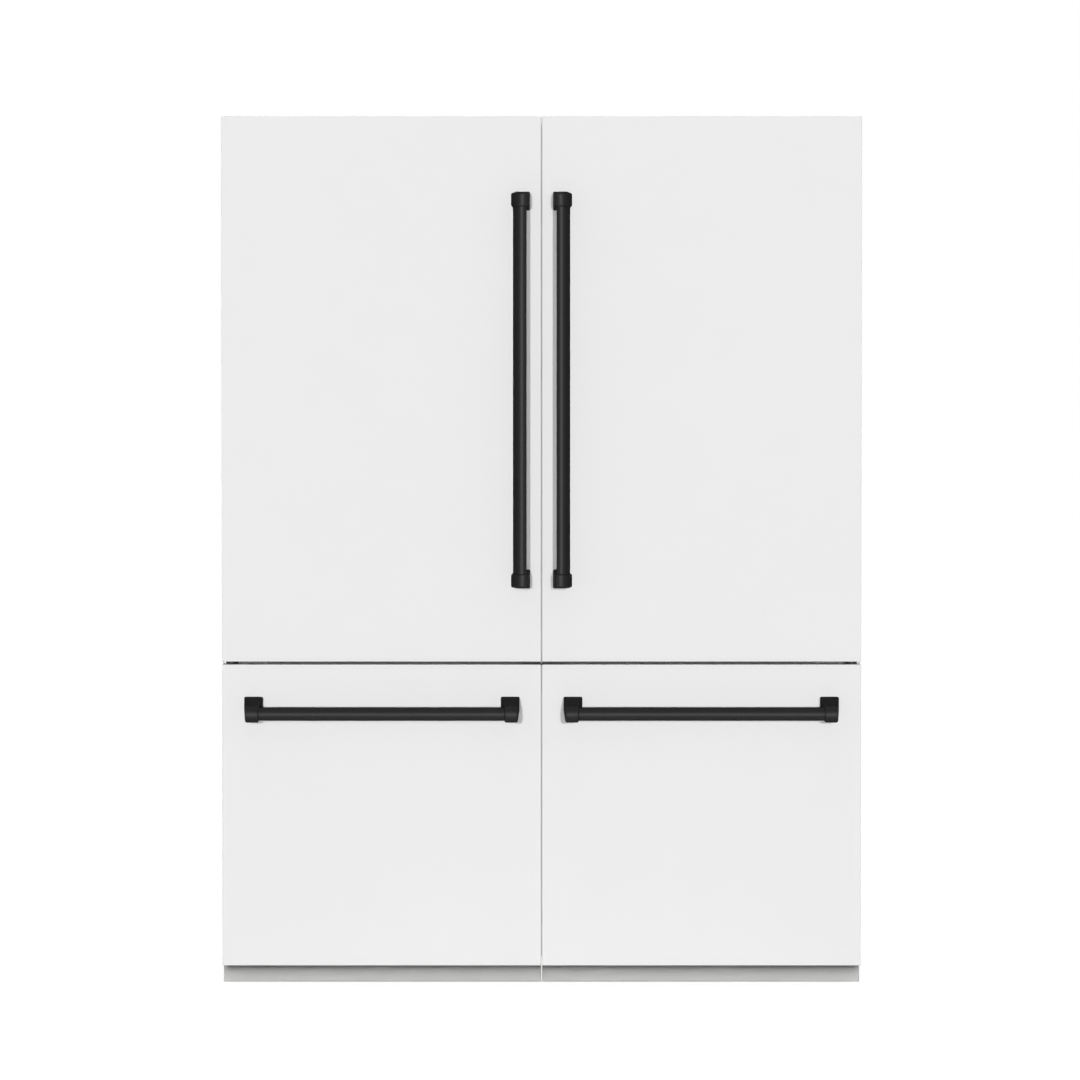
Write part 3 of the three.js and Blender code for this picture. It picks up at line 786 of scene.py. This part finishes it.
def hinge_screws(side):
    shape = bmesh.new()
    for x, y in ((44, 48), (70, 22), (98, 48)):
        add_screw(shape, (x, y, HINGE_TOP_Z), "z", radius=5)
    publish(side, "cabinet", "upper_hinge_screws", shape, "galvanised")
    cap = bmesh.new()
    dome = ((9, 0), (9, 2.4), (7.6, 3.4), (3, 3.6))
    add_turned(cap, (*HINGE_PIN, HINGE_TOP_Z - 0.1), "z", dome)
    publish(side, "cabinet", "upper_hinge_pin_cap", cap, "dark_steel")


def back_details(side):
    shape = bmesh.new()
    for z in range(360, 2040, 186):
        for x in (14, COLUMN_WIDTH - 14):
            add_screw(shape, (x, BACK_Y, z), "y")
    for x in range(110, 700, 134):
        add_screw(shape, (x, BACK_Y, 2030), "y")
    for x in (46, 378, 710):
        add_screw(shape, (x, BACK_Y - 0.2, 281), "y")
    publish(side, "cabinet", "back_screws", shape, "galvanised")
    plugs = bmesh.new()
    dome = ((14, 0), (14, 1.2), (12.6, 2), (4, 2.2))
    for x, z in ((189, 900), (567, 900), (189, 1500), (567, 1500)):
        add_turned(plugs, (x, BACK_Y - 0.3, z), "y", dome, sides=36)
    publish(side, "cabinet", "foam_fill_plugs", plugs, "dark_steel", DARK_PLASTIC_AND_SLOT_SHADE)
    pins = bmesh.new()
    for x in (650, 656, 662):
        add_block(pins, x=(x - 0.9, x + 0.9), y=(547, 558), z=(59.5, 62.5), rounding=0.3)
    publish(side, "cabinet", "inlet_pins", pins, "stainless")


def feet_details(side):
    """Each levelling foot gets a hexagonal nut and rings that read as a thread."""
    nut = ((10, 0), (11, 0.8), (11, 5), (10, 5.8))
    thread = ((6.1, 0), (6.8, 0.6), (6.8, 0.9), (6.1, 1.5))
    shape = bmesh.new()
    for x in (FOOT["inset"], COLUMN_WIDTH - FOOT["inset"]):
        for y in FOOT["y"]:
            add_turned(shape, (x, y, 8.2), "z", nut, sides=6)
            for z in range(15, 21, 2):
                add_turned(shape, (x, y, z), "z", thread, sides=24)
    publish(side, "cabinet", "foot_nuts", shape, "galvanised")


def compressor(side):
    profile = (
        (56, 0), (66, 5), (71, 15), (72.4, 60), (72.4, 74), (74.4, 75), (74.4, 80), (72, 81),
        (70.6, 110), (64, 130), (50, 143), (28, 151), (8, 153),
    )
    shape = bmesh.new()
    add_turned(shape, (COMPRESSOR["x"], COMPRESSOR["y"], COMPRESSOR["z"]), "z", profile, sides=64)
    add_block(shape, x=(110, 290), y=(405, 535), z=COMPRESSOR["tray_z"], rounding=1.2)
    piece = publish(side, "cabinet", "compressor_can", shape, "compressor_black")
    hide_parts(f"{side}_compressor")
    box = bmesh.new()
    add_block(box, x=(262, 292), y=(446, 494), z=(70, 120), rounding=3.0, segments=3)
    publish(side, "cabinet", "compressor_terminal_box", box, "dark_steel", DARK_PLASTIC_AND_SLOT_SHADE)
    grommets = bmesh.new()
    cushion = ((9, 0), (10, 1), (10, 5), (7, 7), (3, 8))
    for x in (122, 278):
        for y in (418, 522):
            add_turned(grommets, (x, y, 29.8), "z", cushion, sides=24)
    publish(side, "cabinet", "compressor_grommets", grommets, "gasket", DARK_PLASTIC_AND_SLOT_SHADE)


def pipe(side, name, points, radius):
    """A bent copper pipe through the points, as a swept round section."""
    curve = bpy.data.curves.new(f"{side}_{name}", "CURVE")
    curve.dimensions = "3D"
    curve.bevel_depth = radius * MM
    curve.bevel_resolution = 4
    curve.use_fill_caps = True
    line = curve.splines.new("NURBS")
    line.points.add(len(points) - 1)
    for knot, point in zip(line.points, points):
        knot.co = (*to_world(side, Vector(point)), 1.0)
    line.use_endpoint_u = True
    line.order_u = 4
    curve.materials.append(COPPER)
    piece = bpy.data.objects.new(f"{side}_{name}", curve)
    bpy.context.scene.collection.objects.link(piece)
    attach(piece, "cabinet")


def refrigerant_pipes(side):
    pipe(side, "discharge_pipe", (
        (200, 470, 178), (200, 470, 215), (230, 462, 236), (330, 452, 236), (404, 450, 226),
        (424, 450, 190), (432, 450, 176),
    ), radius=3)
    pipe(side, "suction_pipe", (
        (150, 440, 160), (146, 430, 200), (120, 420, 250), (90, 416, 268), (70, 412, 272),
        (60, 400, 278), (58, 388, 284),
    ), radius=4)


def seam_strip():
    shape = bmesh.new()
    middle = COLUMN_WIDTH + SEAM / 2
    add_block(shape, x=(middle - 1.2, middle + 1.2), y=(4, 561), z=(62, 2044), rounding=0.4)
    publish("left", "cabinet", "column_seam_strip", shape, "gasket", SEAM_FILLER)


# ---------------------------------------------------------------- assembly


def dress_cad_nodes():
    slots = {part["node"]: part["material_slot"] for part in frame["record"]["subparts"]}
    for name, node in frame["nodes"].items():
        node.data.materials.clear()
        node.data.materials.append(FINISHES[slots[name]])


def soften(side, name, width):
    bevel = frame["nodes"][f"{side}_{name}"].modifiers.new("soft edges", "BEVEL")
    bevel.width = width * MM
    bevel.segments = 2
    bevel.limit_method = "ANGLE"
    bevel.harden_normals = True


def build_column(side):
    door = f"{side}_door"
    drawer = f"{side}_drawer"
    round_cad(side, "door_panel", SHEET_ROUNDING, door, "white_panel", segments=4, keep_back=True)
    round_cad(side, "drawer_panel", SHEET_ROUNDING, drawer, "white_panel", segments=4, keep_back=True)
    round_cad(side, "base_panel", SHEET_ROUNDING, "cabinet", "stainless")
    round_cad(side, "cabinet_shell", SHELL_ROUNDING, "cabinet", "grey_shell")
    round_cad(side, "door_liner", SHEET_ROUNDING, door, "liner")
    round_cad(side, "drawer_liner", SHEET_ROUNDING, drawer, "liner")
    for name in ("upper_hinge", "lower_hinge", "slides_fixed", "slides_moving", "machine_cover"):
        soften(side, name, width=0.4)
    for name in ("base_frame", "freezer_back_panel", "cabinet_liner"):
        soften(side, name, width=0.8)
    handle(side, "door_handle", door, DOOR_PULL, "z")
    handle(side, "drawer_handle", drawer, DRAWER_PULL, "x")
    gasket(side, "door_gasket", door, z=(779, 2030))
    gasket(side, "drawer_gasket", drawer, z=(96, 748))
    for name, level in BINS.items():
        door_bin(side, name, level)
    for name, (y, level) in SHELVES.items():
        glass_shelf(side, name, y, level)
    door_details(side)
    drawer_details(side)
    tray_details(side)
    crisper(side)
    divider_strip(side)
    cabin_lights(side)
    control_strip(side)
    air_vents(side)
    freezer_fan(side)
    hinge_screws(side)
    back_details(side)
    feet_details(side)
    compressor(side)
    refrigerant_pipes(side)


# ---------------------------------------------------------------- studio


def add_camera_only_boost(tree, low, high):
    """A value that is high for what the camera sees directly and low for the light it gives."""
    path = tree.nodes.new("ShaderNodeLightPath")
    spread = tree.nodes.new("ShaderNodeMapRange")
    spread.inputs["To Min"].default_value = low
    spread.inputs["To Max"].default_value = high
    tree.links.new(path.outputs["Is Camera Ray"], spread.inputs["Value"])
    return spread.outputs["Result"]


def add_floor():
    bpy.ops.mesh.primitive_plane_add(size=FLOOR_SIZE, location=(0, 0, 0))
    floor = bpy.context.object
    floor.name = "floor"
    material = principled("floor", color=(0.8, 0.8, 0.8), roughness=0.9)
    add_grain(material, scale=40.0, roughness=(0.86, 0.94), bump=0.0)
    tree = material.node_tree
    shader = tree.nodes["Principled BSDF"]
    shader.inputs["Emission Color"].default_value = (1, 1, 1, 1)
    boost = add_camera_only_boost(tree, 0.0, FLOOR_GLOW)
    tree.links.new(boost, shader.inputs["Emission Strength"])
    floor.data.materials.append(material)


def add_world():
    world = bpy.data.worlds.new("studio")
    bpy.context.scene.world = world
    world.use_nodes = True
    background = world.node_tree.nodes["Background"]
    background.inputs["Color"].default_value = (1, 1, 1, 1)
    boost = add_camera_only_boost(world.node_tree, WORLD_LIGHT, 1.0)
    world.node_tree.links.new(boost, background.inputs["Strength"])


def gather(name, pieces):
    group = bpy.data.collections.new(name)
    for piece in pieces:
        group.objects.link(piece)
    return group


def add_sun(name, light, azimuth, receivers, blockers):
    """A distant soft light, azimuth degrees right of the front, that reaches only its receivers."""
    turn = math.radians(azimuth)
    rise = math.radians(light["elevation"])
    level = math.cos(rise)
    source = Vector((level * math.sin(turn), -level * math.cos(turn), math.sin(rise)))
    data = bpy.data.lights.new(name, "SUN")
    data.energy = light["power"]
    data.angle = math.radians(light["spread"])
    lamp = bpy.data.objects.new(name, data)
    bpy.context.scene.collection.objects.link(lamp)
    lamp.rotation_euler = source.to_track_quat("Z", "Y").to_euler()
    linking = lamp.light_linking
    linking.receiver_collection = gather(f"{name}_receivers", receivers)
    linking.blocker_collection = gather(f"{name}_blockers", blockers)


def add_lights():
    """Each column is lit from its outer side, and its door pull catches a glint on its seam side."""
    shown = [piece for piece in bpy.data.objects if piece.type in ("MESH", "CURVE")]
    pulls = [piece for piece in shown if piece.name.endswith("handle_smooth")]
    bases = [piece for piece in shown if piece.name.endswith("base_panel_rounded")]
    drawer_pulls = [piece for piece in pulls if "drawer" in piece.name]
    panels = [piece for piece in shown if piece not in pulls + bases]
    add_sun("front", FRONT_LIGHT, 0, panels, shown)
    add_sun("base", BASE_LIGHT, 0, bases, shown)
    add_sun("drawer_glint", DRAWER_GLINT, 0, drawer_pulls, shown)
    add_sun("top", TOP_LIGHT, 0, panels, shown)
    for side, hand in HAND.items():
        outer = -hand
        own = [piece for piece in panels if piece.name.startswith(side)]
        door_pull = [piece for piece in pulls if piece.name.startswith(f"{side}_door")]
        add_sun(f"{side}_key", KEY_LIGHT, outer * KEY_LIGHT["azimuth"], own, shown)
        add_sun(f"{side}_glint", DOOR_GLINT, -outer * DOOR_GLINT["azimuth"], door_pull, shown)
        add_sun(f"{side}_rear", REAR_LIGHT, outer * REAR_LIGHT["azimuth"], panels, shown)


def add_camera():
    data = bpy.data.cameras.new("camera")
    data.lens = LENS_MM
    data.sensor_width = SENSOR_MM
    data.clip_end = CAMERA_REACH
    camera = bpy.data.objects.new("camera", data)
    bpy.context.scene.collection.objects.link(camera)
    face_y = (FACE_Y + COLUMN_SHIFT_Y) * MM
    camera.location = (CAMERA_X, face_y - CAMERA_DISTANCE, CAMERA_HEIGHT)
    pitch = math.atan2(CAMERA_HEIGHT - CAMERA_AIM_HEIGHT, CAMERA_DISTANCE)
    camera.rotation_euler = (math.pi / 2 - pitch, 0, 0)
    bpy.context.scene.camera = camera


dress_cad_nodes()
for side in HAND:
    build_column(side)
seam_strip()
add_lights()
add_floor()
add_world()
add_camera()
bpy.context.scene.view_settings.view_transform = "Standard"
